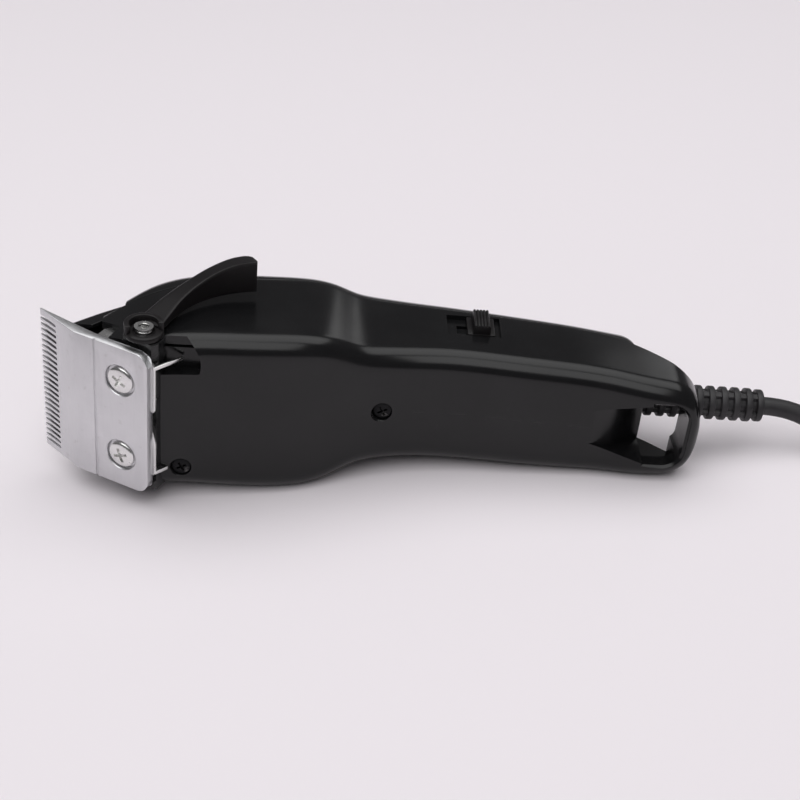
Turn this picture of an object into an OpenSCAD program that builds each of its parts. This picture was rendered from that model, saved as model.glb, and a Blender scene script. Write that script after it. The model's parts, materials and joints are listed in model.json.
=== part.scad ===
// Corded hair clipper with a vibrating-arm motor, a taper lever and a hang loop.
// Each sub-part is drawn in the clipper's own frame and then laid on its side:
// x runs from the teeth to the tail, y from the blade face to the top cover,
// z across the width, and the origin is the groove in the fixed blade.

/* [Body] */
// Full width of the head
head_w = 51; // [49:0.5:53]
// Full width of the waist
waist_w = 37.6; // [36:0.2:40]
// Full width of the tail where the hang loop starts
tail_w = 34; // [33:0.2:36]
// Distance from the blade groove to the end of the tail
tail_end = 171; // [169:1:175]
// Thickness of the housing walls
wall = 2.2; // [1.8:0.1:2.6]
// Gap between the top cover and the bottom housing
part_gap = 0.2; // [0.1:0.1:0.4]

/* [Blade set] */
// Width of the fixed blade
blade_w = 46; // [44:0.5:47]
// Angle between the blade's foot and the clipper's length
blade_angle = 27.2; // [25:0.2:29]
// Length of the foot behind the groove
foot_l = 17.2; // [16:0.2:18]
// Flat land in front of the groove
land_l = 5.7; // [4:0.1:7]
// Length of the bevel that carries the teeth
bevel_l = 16.3; // [15:0.1:17]
// Angle of the bevel to the foot
bevel_angle = 17.4; // [15:0.2:18]
// Thickness of the foot
foot_t = 2.6; // [2.4:0.1:3]
// Distance between the two blade screws
screw_pitch = 25; // [24:0.5:26]
// Number of slots between the teeth of the fixed blade
slot_count = 24; // [20:1:26]
// Width of the moving blade
cutter_w = 36; // [32:1:38]

/* [Taper lever] */
// Length of the lever from its pivot to the end of the thumb paddle
lever_l = 38; // [34:1:40]
// Offset of the eccentric pin that moves the cutter carriage
cam_offset = 1.8; // [1.4:0.1:2]

/* [Motor] */
// Distance from the blade groove to the arm's pivot
pivot_x = 88; // [86:1:90]
// Air gap between the pole faces and the armature
air_gap = 1.4; // [1.2:0.1:1.8]

/* [Cord] */
// Diameter of the cord
cord_d = 5.5; // [5:0.1:6]
// Length of the straight runs in the cord's hank
hank_run = 92; // [84:1:100]
// Layers of turns in the hank
hank_high = 4; // [3:1:4]

/* [Hidden] */

$fn = 48;
far = 200;
eps = 0.01;

// How the clipper lies: head and tail both touch the surface
lie_tilt = 5;
rest_height = 30;
middle_x = 87;
middle_y = 19.35;

// Curves of the housing, each a list of [distance from the groove, value]
side_curve = [
    [-9, 0.74 * head_w / 2], [0, 0.85 * head_w / 2], [10, 0.94 * head_w / 2], [24, 0.985 * head_w / 2],
    [45, 1.008 * head_w / 2], [57, 0.996 * head_w / 2], [64, 0.94 * head_w / 2], [73, 1.07 * waist_w / 2],
    [84, waist_w / 2], [103, 0.99 * waist_w / 2], [133, 0.96 * waist_w / 2], [150, tail_w / 2],
    [160, 0.955 * tail_w / 2], [tail_end, 0.88 * tail_w / 2]
];
bottom_curve = [
    [-9, -9], [20, -2.6], [45, -1.2], [57, 0.2], [65, 2.4], [76, 6], [86, 7.9], [96, 8.7], [106, 8.4],
    [120, 7.2], [142, 5.6], [156, 3.2], [tail_end, 2.6]
];
top_curve = [
    [-9, 12], [0, 21.5], [8, 31], [14, 37], [22, 41.3], [34, 43.4], [50, 44.2], [64, 45.2], [76, 46.6],
    [86, 46.2], [104, 44], [134, 40], [153, 37.5]
];
gusset_curve = [[141, 27.6], [153, 25.2], [160, 20.4], [166, 15.6], [tail_end, 12.6]];
parting_curve = [
    [-14, 8], [0, 14], [14, 24], [28, 31], [50, 34], [76, 37], [104, 34.6], [134, 31], [158, 26.6]
];
bottom_round = 5.5;
top_round = 10;
corner_steps = 5;
body_end = 153;
nose_x = -8.4;
cavity_end = 147;
nose_end = 0.8;

// Blade frame: x forward along the foot, y out of the blade, z across
tip_x = land_l + bevel_l * cos(bevel_angle);
tip_y = -bevel_l * sin(bevel_angle);
tip_t = 0.5;
bend_x = 2;
bend_y = -2.9;
cut_angle = atan2(bend_y - tip_y + tip_t, tip_x - bend_x);
cut_l = (tip_x - bend_x) / cos(cut_angle);
blade_screw_x = -8.25;
plate_t = 1;
seat_y = -foot_t - plate_t;
screw_recess_r = 5.25;

// Lever pivot and the parts on it
lever_x = 13.5;
lever_y = 0.8;
lever_z = 25.1;
hub_r = 5.4;
hub_t = 3.4;
cam_lead = 22;
lever_angle = 39;
slide_angle = blade_angle + cut_angle;
cam_angle = 90 - slide_angle - cam_lead;

// Vibrating arm
arm_z = 7;
arm_t = 4;
armature_t = 2.6;
plate_z = arm_z - arm_t / 2 - armature_t;
pole_z = plate_z - air_gap;
spring_z = arm_z + arm_t / 2;
spring_gap = 0.2;

// Cord: the route's points on the surface, where it isn't coiled
relief_y = 22.5;
relief_x0 = 144;
relief_x1 = 193;
cord_r = cord_d / 2;
hank_x = 160;
hank_y = 1.5;
hank_wide = 2;
fold_r = 3 * cord_d;
hank_inner = fold_r - cord_r;
hank_outer = hank_inner + hank_wide * cord_d;
hank_h = hank_high * cord_d;
cord_route = [
    [105.2, 3.15, 13.2], [110, 3.1, 12.7], [116, 2.4, 11.2], [122, 0.4, 8.8], [128, -3.2, 6], [134, -8, 3.9],
    [140, -12.8, 2.9], [146, -16.6, 2.75], [153, -19.5, 2.75], [160, -20.5, 2.75]
];

// Value of a curve at a distance along the body, as a smooth line through its points
function slope(c, k) =
    k == 0 ? (c[1][1] - c[0][1]) / (c[1][0] - c[0][0])
    : k == len(c) - 1 ? (c[k][1] - c[k - 1][1]) / (c[k][0] - c[k - 1][0])
    : (c[k + 1][1] - c[k - 1][1]) / (c[k + 1][0] - c[k - 1][0]);
function span(c, x) = max([for (k = [0 : len(c) - 2]) c[k][0] <= x ? k : 0]);
function hermite(a, b, ma, mb, h, t) =
    a * (1 - t) * (1 - t) * (1 + 2 * t) + b * t * t * (3 - 2 * t)
    + h * t * (1 - t) * (ma * (1 - t) - mb * t);
function curve(c, x) =
    let (k = span(c, x), h = c[k + 1][0] - c[k][0], t = min(1, max(0, (x - c[k][0]) / h)))
    hermite(c[k][1], c[k + 1][1], slope(c, k), slope(c, k + 1), h, t);

// Narrowing of the plan outline where the tail rounds off
tail_round = 9;
function tail_inset(x) =
    x < tail_end - tail_round ? 0
    : tail_round - sqrt(max(0, pow(tail_round, 2) - pow(x - tail_end + tail_round, 2)));
function half_width(x) = curve(side_curve, x) - tail_inset(x);

// A rounded rectangle across the body as a ring of points
function corner(x, y, z, r, from) = [
    for (k = [0 : corner_steps]) let (a = from + 90 * k / corner_steps) [x, y + r * sin(a), z + r * cos(a)]
];
function ring(x, w, low, high, r_low, r_high) = concat(
    corner(x, high - r_high, w - r_high, r_high, 0),
    corner(x, high - r_high, r_high - w, r_high, 90),
    corner(x, low + r_low, r_low - w, r_low, 180),
    corner(x, low + r_low, w - r_low, r_low, 270)
);
function body_ring(x, inset) = ring(
    x, half_width(x) - inset, curve(bottom_curve, x) + inset, curve(top_curve, x) - inset,
    bottom_round - inset * 0.6, top_round - inset
);
function spaced(from, to, step) =
    let (n = ceil((to - from) / step)) [for (k = [0 : n]) from + (to - from) * k / n];

// Solid through a list of rings with the same number of points each
module loft(rings) {
    n = len(rings[0]);
    m = len(rings);
    points = [for (r = rings, p = r) p];
    sides = [
        for (i = [0 : m - 2], j = [0 : n - 1], half = [0, 1])
            let (a = i * n + j, b = i * n + (j + 1) % n, c = a + n, d = b + n)
            half == 0 ? [a, b, c] : [b, d, c]
    ];
    start = [for (j = [n - 1 : -1 : 0]) j];
    end = [for (j = [0 : n - 1]) (m - 1) * n + j];
    polyhedron(points, concat(sides, [start, end]), convexity = 6);
}

// Round tube along a route of points
function unit(v) = v / norm(v);
function route_dir(p, k) = unit(p[min(k + 1, len(p) - 1)] - p[max(k - 1, 0)]);
function tube_ring(centre, dir, r, sides) =
    let (side = unit(cross(dir, [0.05, 0.1, 1])), up = cross(side, dir))
    [for (j = [0 : sides - 1]) let (a = 360 * j / sides) centre + r * (cos(a) * side + sin(a) * up)];
module tube(route, r, sides = 8) {
    loft([for (k = [0 : len(route) - 1]) tube_ring(route[k], route_dir(route, k), r, sides)]);
}

module lay_down() {
    translate([-middle_x, -middle_y, rest_height]) rotate([0, lie_tilt, 0]) children();
}
module on_blade() {
    rotate([0, 0, 180 - blade_angle]) children();
}
module on_cut() {
    on_blade() translate([bend_x, bend_y, 0]) rotate([0, 0, -cut_angle]) children();
}
module at_lever() {
    translate([lever_x, lever_y, lever_z]) children();
}
// Cylinder along +y from a point
module post(x, y, z, r, h) {
    translate([x, y, z]) rotate([-90, 0, 0]) cylinder(r = r, h = h);
}
// Box between two corners
module block(low, high) {
    translate(low) cube(high - low);
}
// Prism of a side outline, centred across the width
module prism(outline, w) {
    linear_extrude(height = w, center = true) polygon(outline);
}
module cross_slots(r, depth, w) {
    for (a = [0, 90]) rotate([0, 0, a]) translate([-r, -w / 2, -depth]) cube([2 * r, w, 2 * depth]);
}
// Screw along -z with its head above z = 0
module screw(head_r, head_h, shaft_r, shaft_l) {
    difference() {
        union() {
            cylinder(r = head_r, h = head_h);
            translate([0, 0, -shaft_l]) cylinder(r = shaft_r, h = shaft_l + eps);
        }
        translate([0, 0, head_h]) cross_slots(head_r * 0.6, head_h * 0.5, head_r * 0.22);
    }
}

// Whole outside of the body, and the space inside it
module body_outside() {
    loft([for (x = spaced(nose_x, body_end, 6)) body_ring(x, 0)]);
}
function cavity_low(x) = max(curve(bottom_curve, x) + wall, 16.6 - max(0, cavity_end - x) * 1.1);
module cavity() {
    loft([
        for (x = spaced(nose_x - 4, cavity_end, 6))
            let (xi = max(x, nose_x))
            ring(x, half_width(xi) - wall, cavity_low(xi), curve(top_curve, xi) - wall, 3.4, top_round - wall)
    ]);
}
module below_parting(gap) {
    line = [for (x = spaced(-14, 158, 6)) [x, curve(parting_curve, x) - gap]];
    prism(concat([[-14, -far]], line, [[158, -far]]), far);
}
module above_parting(gap) {
    line = [for (x = spaced(-14, 158, 6)) [x, curve(parting_curve, x) + gap]];
    prism(concat([[-14, far]], line, [[158, far]]), far);
}
// Space in front of the housing that the blade set takes
module blade_space() {
    on_blade() prism([
        [-foot_l - 0.6, seat_y], [-2.5, seat_y], [-2.5, -9], [6, -10.5], [24, -10.5], [60, 30],
        [-foot_l - 0.6, 30]
    ], far);
}
module floor_cut() {
    rotate([0, -lie_tilt, 0]) translate([0, 0, -rest_height - far / 2])
        cube([3 * far, far, far], center = true);
}

// Tail behind the body: two tapering cheeks joined by a rounded end
module tail_outside() {
    loft([
        for (x = concat(spaced(141, tail_end - tail_round, 5), [164.5, 166.5, 168, 169.2, 170, 170.6, 170.9]))
            ring(x, half_width(x), curve(bottom_curve, x), curve(gusset_curve, x), 3.6, 1.2)
    ]);
}
window_x0 = 154;
window_x1 = 167;
window_w = 21;
scoop_x = 140;
scoop_w = 5.6;
scoop_end = window_x0 + 1;
module tail_window() {
    r = 5.5;
    rotate([-90, 0, 0]) {
        for (s = [-1, 1]) translate([window_x1 - r, s * (window_w / 2 - r), -5]) cylinder(r = r, h = 60);
        translate([window_x0, -window_w / 2, -5]) cube([window_x1 - r - window_x0, window_w, 60]);
        translate([window_x0, r - window_w / 2, -5]) cube([window_x1 - window_x0, window_w - 2 * r, 60]);
    }
}
module tail_scoop() {
    intersection() {
        rotate([90, 0, 0]) translate([0, 0, -20]) linear_extrude(height = 40)
            polygon([
                [scoop_x, -scoop_w], [scoop_x, scoop_w], [scoop_end, window_w / 2], [scoop_end, -window_w / 2]
            ]);
        prism([
            [scoop_x - 1, -5], [scoop_x - 1, 5.1], [scoop_x, 5.6], [scoop_end, 13.5], [scoop_end, -5]
        ], far);
    }
}
// Space between the cheeks, behind the end wall
module tail_space() {
    w = tail_w - 2 * 3.2;
    translate([body_end, 8, -w / 2]) cube([13, far, w]);
}

core_boss = [[34.5, -13], [65.5, -13]];
bracket_boss = [[94, -1], [94, 13]];
clamp_boss = [[132, -8], [132, 8]];
cover_boss = [[24, -17], [24, 17], [80, 0]];

module bottom_housing() {
    color([0.05, 0.05, 0.055]) difference() {
        union() {
            difference() {
                union() {
                    intersection() {
                        body_outside();
                        below_parting(0);
                    }
                    tail_outside();
                }
                cavity();
                blade_space();
                translate([nose_end - far, -far / 2, -far / 2]) cube([far, far, far]);
            }
            blade_seat();
            for (p = core_boss) boss(p, 3.2, 16);
            for (p = bracket_boss) boss(p, 3, 14);
            for (p = clamp_boss) boss(p, 3, 17.2);
            for (p = cover_boss) boss(p, 3.6, curve(bottom_curve, p[0]) + 16.5);
            at_lever() translate([0, 0, -1.8]) cylinder(r = hub_r + 0.4, h = 1.5);
            translate([power_x, power_y, -half_width(power_x) + wall / 2]) cylinder(r = 4.2, h = 5.5);
        }
        for (p = core_boss) post(p[0], 4, p[1], 1.3, far);
        for (p = bracket_boss) post(p[0], 11, p[1], 1.3, far);
        for (p = clamp_boss) post(p[0], 9, p[1], 1.1, far);
        for (p = cover_boss) {
            post(p[0], -far / 2, p[1], 1.7, far);
            post(p[0], -10, p[1], 3, 11.5 + curve(bottom_curve, p[0]));
        }
        at_lever() translate([0, 0, -8]) cylinder(r = 2.6, h = 12);
        at_lever() translate([0, 0, -9]) cylinder(r = 3.2, h = 5.6);
        blade_screw_holes(1.5, 12);
        tail_window();
        tail_scoop();
        tail_space();
        translate([relief_x0 - 4, relief_y, 0]) rotate([0, 90, 0]) cylinder(r = 4.1, h = 20);
        switch_recess();
        translate([power_x, power_y, -far / 2]) cylinder(r = 2.5, h = far / 2 - 8);
        floor_cut();
    }
}

// Boss that stands on the floor of the tub
module boss(p, r, top) {
    low = curve(bottom_curve, p[0]) + 1;
    post(p[0], low, p[1], r, top - low);
}

// Inclined pad that the blade and its plate are screwed to
module blade_seat() {
    difference() {
        on_blade() prism([
            [-foot_l - 0.4, seat_y], [-3, seat_y], [-3, seat_y - 6.5], [-13, seat_y - 7.5],
            [-foot_l - 0.4, seat_y - 4.4]
        ], 46.4);
        on_blade() translate([-30, seat_y - 20, 17.8]) cube([40, 19, 3.7]);
    }
}
module blade_screw_holes(r, depth) {
    on_blade() for (s = [-1, 1]) translate([blade_screw_x, 0, s * screw_pitch / 2]) rotate([90, 0, 0])
        translate([0, 0, -1]) cylinder(r = r, h = depth + 1);
}

module top_cover() {
    color([0.06, 0.06, 0.065]) difference() {
        union() {
            difference() {
                intersection() {
                    body_outside();
                    above_parting(part_gap);
                }
                cavity();
            }
            for (p = cover_boss) cover_post(p);
        }
        blade_space();
        for (p = cover_boss) post(p[0], 0, p[1], 1.3, 36);
        floor_cut();
    }
}

module cover_post(p) {
    low = curve(bottom_curve, p[0]) + 17;
    post(p[0], low, p[1], 3.6, curve(top_curve, p[0]) - 1.2 - low);
}

module cover_screws() {
    color([0.35, 0.35, 0.37]) for (p = cover_boss)
        translate([p[0], curve(bottom_curve, p[0]) + 1.5, p[1]]) rotate([90, 0, 0]) screw(2.7, 1.2, 1.25, 26);
}

module fixed_blade() {
    outline = [
        [-3, -foot_t], [-foot_l, -foot_t], [-foot_l, 0], [-0.5, 0], [0, -0.4], [0.5, 0], [land_l, 0],
        [tip_x, tip_y], [tip_x, tip_y - tip_t], [bend_x, bend_y]
    ];
    pitch = (blade_w - 3) / slot_count;
    color([0.78, 0.79, 0.81]) on_blade() difference() {
        prism(outline, blade_w);
        for (s = [-1, 1]) {
            translate([blade_screw_x, 0, s * screw_pitch / 2]) rotate([90, 0, 0]) {
                translate([0, 0, -1]) cylinder(r = 1.8, h = 8);
                translate([0, 0, -1]) cylinder(r = screw_recess_r, h = 2.2);
            }
            heel_corner(s);
        }
        for (k = [0 : slot_count - 1])
            translate([tip_x - 5.6, tip_y - 8, (k - (slot_count - 1) / 2) * pitch - 0.4]) cube([8, 16, 0.8]);
    }
}
module heel_corner(side) {
    r = 4;
    translate([-foot_l, -10, side * blade_w / 2]) difference() {
        translate([-1, 0, -r]) cube([r + 1, 20, 2 * r]);
        translate([r, -1, -side * r]) rotate([-90, 0, 0]) cylinder(r = r, h = 22);
        translate([-2, -1, side > 0 ? -3 * r : r]) cube([3 * r, 22, 2 * r]);
    }
}

module blade_plate() {
    color([0.82, 0.83, 0.84]) difference() {
        union() {
            on_blade() difference() {
                translate([-foot_l - 1.6, seat_y, -21.8]) cube([14, plate_t, 43.6]);
                translate([-foot_l - 2, seat_y - 1, -9]) cube([1.6, 3, 4.8]);
            }
            for (t = [[18, 24.6], [-18, 20.6]]) {
                block([16.6, -5.5, t[0] - 0.7], [t[1], -4.5, t[0] + 0.7]);
                block([t[1] - 1, -5.5, t[0] - 0.7], [t[1], -3.4, t[0] + 0.7]);
            }
        }
        blade_screw_holes(1.8, 12);
    }
}

module blade_screws() {
    color([0.75, 0.76, 0.78]) on_blade() for (s = [-1, 1])
        translate([blade_screw_x, -1.2, s * screw_pitch / 2]) rotate([-90, 0, 0]) screw(3.9, 1.7, 1.45, 8);
}

// Cutter on the inner side of the fixed blade
cutter_gap = 0.06;
cutter_t = 1.8;
cutter_back = 0.4;
cutter_tip = cut_l - 2.1;
module moving_blade() {
    pitch = 2;
    count = floor((cutter_w - 2) / pitch);
    color([0.7, 0.71, 0.73]) on_cut() difference() {
        prism([
            [cutter_back, -cutter_gap], [cutter_tip, -cutter_gap], [cutter_tip, -cutter_gap - 0.5],
            [cutter_tip - 6, -cutter_t], [cutter_back, -cutter_t]
        ], cutter_w);
        for (k = [0 : count - 1])
            translate([cutter_tip - 4.5, -5, (k - (count - 1) / 2) * pitch - 0.45]) cube([8, 8, 0.9]);
    }
}

foot_x = 5.5;
module drive_foot() {
    color([0.88, 0.88, 0.84]) on_cut() difference() {
        union() {
            block([foot_x - 4.4, -6, -6], [foot_x + 4, -cutter_t, 6]);
            block([foot_x - 4.6, -3.4, -8.4], [foot_x + 4.6, -cutter_t, 8.4]);
        }
        block([foot_x - 3.4, -9, -1.6], [foot_x + 2.2, -2.9, 1.6]);
    }
}

module drive_pin() {
    color([0.6, 0.6, 0.62]) on_cut()
        translate([foot_x, -3.4, 0]) rotate([90, 0, 0]) cylinder(r = 1.5, h = 5.6);
}

carriage_back = -2.9;
finger_z = 12.5;
module tension_spring() {
    color([0.72, 0.73, 0.75]) on_cut() {
        block([carriage_back, -cutter_t - 1.3, -15], [cutter_back - 0.2, -cutter_t - 0.9, 15]);
        for (z = [-finger_z, finger_z]) {
            block([cutter_back - 0.2 - eps, -cutter_t - 1.3, z - 2.5], [8, -cutter_t - 0.9, z + 2.5]);
            block([6.5, -cutter_t - 1, z - 2.5], [8, -cutter_t - 0.1, z + 2.5]);
        }
    }
}

module taper_carriage() {
    color([0.2, 0.2, 0.21]) difference() {
        union() {
            on_cut() block([carriage_back, -cutter_t - 0.9, -18], [cutter_back - 0.2, -0.6, 20]);
            on_blade() carriage_arm();
        }
        cam_slot();
    }
}
module carriage_arm() {
    translate([0, 0, 19.7]) linear_extrude(height = 1.6, center = true)
        polygon([
            [-14.2, -7.6], [-12.6, -5.2], [-3, -5.2], [-2, -3.7], [0.6, -3.7], [0.6, -7], [-7, -11],
            [-14.2, -11]
        ]);
}
// Slot across the slide's direction, around the eccentric pin
module cam_slot() {
    pin = [cam_offset * cos(cam_angle), cam_offset * sin(cam_angle)];
    translate([lever_x + pin[0], lever_y + pin[1], 20]) rotate([0, 0, 90 - slide_angle])
        cube([4.6, 2.2, 8], center = true);
}

module lever_cam() {
    color([0.62, 0.62, 0.64]) at_lever() {
        translate([0, 0, -3.9]) cylinder(r = 2.5, h = 3.9);
        rotate([0, 0, cam_angle]) translate([cam_offset, 0, -6.4]) cylinder(r = 1, h = 2.5 + eps);
    }
}

// Curved arm with a thumb paddle that stands up at its end
lever_bow = 4.5;
function arm_point(t, side) =
    let (x = lever_l * t, y = lever_bow * 4 * t * (1 - t), g = atan2(lever_bow * 4 * (1 - 2 * t), lever_l))
    [x - side * sin(g), y + side * cos(g)];
module taper_lever() {
    color([0.07, 0.07, 0.075]) at_lever() difference() {
        union() {
            cylinder(r = hub_r, h = hub_t);
            rotate([0, 0, lever_angle]) intersection() {
                translate([0, 0, 1.6]) linear_extrude(height = 12)
                    polygon(concat(
                        [for (t = [0 : 0.1 : 1]) arm_point(t, 2)],
                        [for (t = [1 : -0.1 : 0]) arm_point(t, -1.8)]
                    ));
                rotate([90, 0, 0]) translate([0, 0, -20]) linear_extrude(height = 40)
                    polygon([
                        [0, 0], [0, hub_t], [7, 5.4], [lever_l - 4, 13.4], [lever_l - 1, 13.6],
                        [lever_l + 2, 12.4], [lever_l + 2, 1.7], [6, 1.7]
                    ]);
            }
        }
        translate([0, 0, hub_t - 1.1]) cylinder(r = 2.7, h = 14);
        translate([0, 0, -1]) cylinder(r = 1.5, h = 10);
    }
}

module lever_washer() {
    color([0.5, 0.5, 0.52]) at_lever() translate([0, 0, hub_t - 1.1]) difference() {
        cylinder(r = 2.6, h = 0.3);
        translate([0, 0, -1]) cylinder(r = 1.5, h = 3);
    }
}
module lever_screw() {
    color([0.75, 0.76, 0.78]) at_lever() translate([0, 0, hub_t - 0.8]) screw(2.4, 1.3, 1.4, hub_t - 0.8);
}

// Vibrating arm from the pivot to the drive foot
module drive_arm() {
    color([0.45, 0.46, 0.48]) difference() {
        union() {
            block([26, 17, arm_z - arm_t / 2], [pivot_x - 4, 25, arm_z + arm_t / 2]);
            prism([[-1.5, 13.4], [26.1, 17], [26.1, 25], [-1.5, 17.2]], arm_t);
            block([22, 17.5, -arm_t / 2], [28, 24.4, arm_z + arm_t / 2]);
        }
        on_cut() translate([foot_x, 0, 0]) rotate([90, 0, 0]) cylinder(r = 1.5, h = 9);
    }
}
armature_x = [35, 65];
module armature_plate() {
    color([0.4, 0.4, 0.42]) difference() {
        block([armature_x[0], 13, plate_z], [armature_x[1], 31, plate_z + armature_t]);
        for (x = [42, 58]) translate([x, 21, -5]) cylinder(r = 1.5, h = 20);
    }
}
module armature_rivets() {
    color([0.66, 0.66, 0.68]) for (x = [42, 58]) translate([x, 21, plate_z + 0.2])
        cylinder(r = 1.5, h = armature_t - 0.2);
}
module main_spring() {
    color([0.55, 0.56, 0.6]) block([pivot_x - 10, 16.5, spring_z], [pivot_x + 7, 28.5, spring_z + 0.5]);
}
module pivot_bracket() {
    color([0.5, 0.5, 0.52]) difference() {
        union() {
            block([pivot_x + 2, 14, spring_z - 4.5], [pivot_x + 9, 31, spring_z - spring_gap]);
            block([pivot_x + 3, 14, -6], [pivot_x + 9, 16, 15.5]);
            block([pivot_x + 3, 14, -6], [pivot_x + 9, 28, -4]);
        }
        for (p = bracket_boss) post(p[0], 10, p[1], 1.6, 7);
    }
}
module bracket_screws() {
    color([0.72, 0.73, 0.75]) for (p = bracket_boss) translate([p[0], 16, p[1]]) rotate([-90, 0, 0])
        screw(2.6, 1.6, 1.25, 4.6);
}

module lamination_core() {
    color([0.33, 0.34, 0.37]) difference() {
        union() {
            block([31, 16, pole_z - 17], [69, 28, pole_z - 11.4]);
            for (x = [[31, 37], [45, 55], [63, 69]]) block([x[0], 16, pole_z - 12], [x[1], 28, pole_z]);
        }
        for (p = core_boss) post(p[0], 0, p[1], 1.6, far);
    }
}
module coil_bobbin() {
    color([0.85, 0.82, 0.7]) difference() {
        union() {
            block([44, 15, pole_z - 11.2], [56, 29, pole_z - 1]);
            for (z = [-11.2, -2.2]) block([38, 9, pole_z + z], [62, 35, pole_z + z + 1.2]);
        }
        block([44.9, 15.9, pole_z - 20], [55.1, 28.1, pole_z + 5]);
    }
}
module coil_winding() {
    color([0.6, 0.3, 0.12]) difference() {
        block([39.5, 10.5, pole_z - 9.9], [60.5, 33.5, pole_z - 2.3]);
        block([43.9, 14.9, pole_z - 20], [56.1, 29.1, pole_z + 5]);
    }
}
module core_screws() {
    color([0.72, 0.73, 0.75]) for (p = core_boss) translate([p[0], 28, p[1]]) rotate([-90, 0, 0])
        screw(2.8, 1.8, 1.25, 21);
}

power_x = pivot_x + 6;
power_y = 24;
module power_screw() {
    color([0.72, 0.73, 0.75]) translate([power_x, power_y, -half_width(power_x) + 0.8]) difference() {
        cylinder(r = 2.4, h = 11.4);
        translate([-4, -0.4, -1]) cube([8, 0.8, 2]);
    }
}

switch_x = [97.5, 113];
switch_y = [21.5, 32];
module switch_recess() {
    z = waist_w / 2;
    block([switch_x[0], switch_y[0], z - 1.6], [switch_x[1], switch_y[1], z + 4]);
    block([switch_x[0] + 2.9, 24.4, z - 6], [switch_x[1] - 3.2, 28.4, z]);
}
knob_x = 107.3;
module switch_knob() {
    z = waist_w / 2;
    color([0.08, 0.08, 0.085]) difference() {
        union() {
            block([knob_x - 4, 22, z - 1.5], [knob_x + 4, 31.5, z - 0.1]);
            block([knob_x - 2.6, 22.2, z - 0.2], [knob_x + 2.6, 31.3, z + 2.8]);
            block([knob_x - 2, 24.7, z - 4], [knob_x + 2, 28.1, z - 1.4]);
        }
        for (x = [knob_x - 1.7, knob_x, knob_x + 1.7]) post(x, 6, z + 2.8, 0.5, 40);
    }
}
module switch_body() {
    z = half_width(114) - wall - 0.1;
    color([0.12, 0.12, 0.13]) difference() {
        block([98.5, 20, z - 8], [114, 32, z]);
        block([100, 24.2, z - 2.4], [111.5, 28.6, z + 1]);
    }
}
module switch_terminals() {
    z = half_width(114) - wall - 8.1;
    color([0.8, 0.62, 0.3]) for (x = [101, 106, 111]) block([x - 1, 25.6, z - 4], [x + 1, 26.2, z]);
}

module internal_leads() {
    color([0.7, 0.15, 0.12]) {
        tube([for (x = [125, 130, 136, relief_x0]) [x, relief_y, 0]], cord_r, 12);
        tube([[125, 23.5, 1.2], [120, 24.5, 2.4], [116, 25.6, 3.4], [112.9, 25.9, 4]], 0.8);
        tube([
            [125, 21.5, -1.2], [112, 18.5, -3], [100, 18, -9], [90, 18, -11], [80, 24, -11], [70, 30, -7],
            [62.1, 31, -4.5]
        ], 0.8);
    }
}
module cord_clamp() {
    color([0.1, 0.1, 0.11]) difference() {
        block([128.5, 17.2, -11], [135.5, 26.6, 11]);
        translate([120, relief_y, 0]) rotate([0, 90, 0]) cylinder(r = cord_r + 0.05, h = 30);
        for (p = clamp_boss) post(p[0], 10, p[1], 1.4, 30);
    }
}
module clamp_screws() {
    color([0.72, 0.73, 0.75]) for (p = clamp_boss) translate([p[0], 26.6, p[1]]) rotate([-90, 0, 0])
        screw(2.3, 1.4, 1.05, 15);
}

relief_r = 5;
relief_core = 3.5;
rib_pitch = 3.7;
module strain_relief() {
    ribs = [for (x = [body_end + 1.4 : rib_pitch : relief_x1 - 2.4]) x];
    color([0.09, 0.09, 0.1]) translate([0, relief_y, 0]) rotate([0, 90, 0]) {
        translate([0, 0, relief_x0]) cylinder(r = 5.6, h = cavity_end - relief_x0 - 0.1);
        translate([0, 0, cavity_end - 0.2]) cylinder(r = 4, h = body_end - cavity_end + 0.4);
        translate([0, 0, body_end])
            cylinder(r1 = relief_core + 0.4, r2 = relief_core, h = relief_x1 - body_end);
        for (x = ribs) translate([0, 0, x]) cylinder(r = relief_r, h = rib_pitch * 0.55);
        translate([0, 0, relief_x1 - 1.9]) cylinder(r = relief_r - 0.2, h = 1.9);
    }
}

module cord_tube() {
    color([0.08, 0.08, 0.09]) tube(cord_route, cord_r, 10);
}
// Slab with round ends along the hank's runs
module hank_slab(r, low, high) {
    translate([hank_x, hank_y, low]) {
        for (x = [0, hank_run]) translate([x, 0, 0]) cylinder(r = r, h = high - low);
        translate([0, -r, 0]) cube([hank_run, 2 * r, high - low]);
    }
}
module cord_hank() {
    color([0.08, 0.08, 0.09]) difference() {
        hank_slab(hank_outer, 0, hank_h);
        hank_slab(hank_inner, -1, hank_h + 1);
    }
}
tie_t = 0.8;
tie_w = 8;
module cord_tie() {
    color([0.16, 0.16, 0.17]) translate([hank_x + 5, hank_y, 0]) difference() {
        block([0, -hank_outer - tie_t, 0], [tie_w, hank_outer + tie_t, hank_h + tie_t]);
        block([-1, -hank_outer, tie_t], [tie_w + 1, hank_outer, hank_h]);
    }
}

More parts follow.
